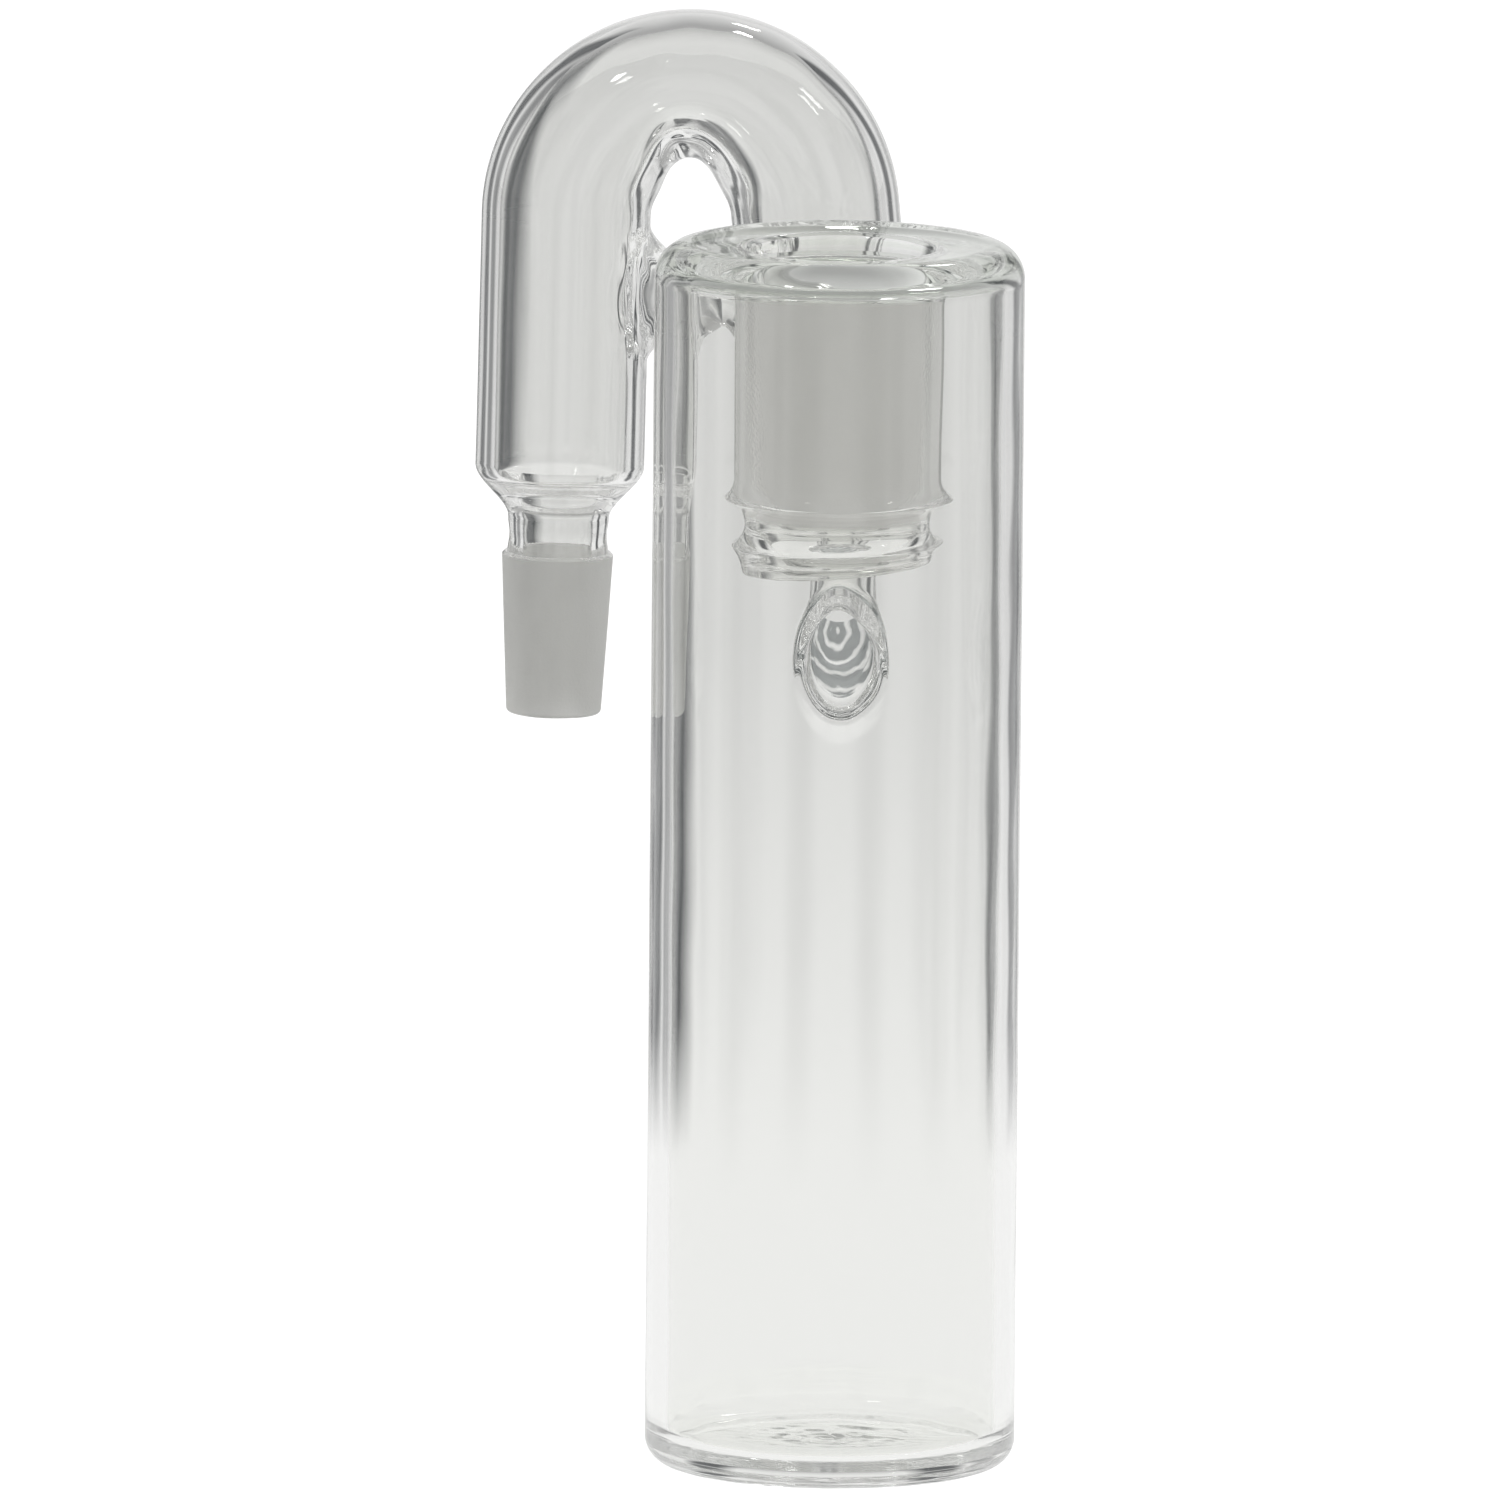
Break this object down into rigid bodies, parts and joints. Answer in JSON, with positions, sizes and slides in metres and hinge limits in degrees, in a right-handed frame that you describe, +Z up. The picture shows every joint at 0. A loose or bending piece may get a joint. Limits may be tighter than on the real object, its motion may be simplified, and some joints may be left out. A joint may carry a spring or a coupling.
{
  "type": "glass trap with return-bend side arm",
  "caption": "Tall flat-bottomed borosilicate glass cylinder with a ground socket in its top and a wide inverted-U side arm that ends in a ground cone.",
  "frame": {"origin": "on the cylinder's axis, on the flat face it stands on", "axes": "+Z up the cylinder's axis, +Y towards the side arm behind it, -X towards the free leg with the ground cone"},
  "size_m": [0.0712, 0.073, 0.1847],
  "materials": {
    "clear_glass": "clear fire-polished borosilicate",
    "ground_glass": "frosted by grinding on the taper"
  },
  "bodies": {
    "root": {"flat_base": "clear_glass", "body_tube": "clear_glass", "top_shoulder": "clear_glass", "ground_socket": "ground_glass", "socket_ring": "clear_glass", "socket_tail": "clear_glass", "takeoff_weld": "clear_glass", "takeoff_tube": "clear_glass", "riser_shoulder": "clear_glass", "riser_leg": "clear_glass", "return_bend": "clear_glass", "drop_leg": "clear_glass", "drop_shoulder": "clear_glass", "cone_neck": "clear_glass", "ground_cone": "ground_glass", "leg_bridge": "clear_glass"}
  },
  "joints": []
}
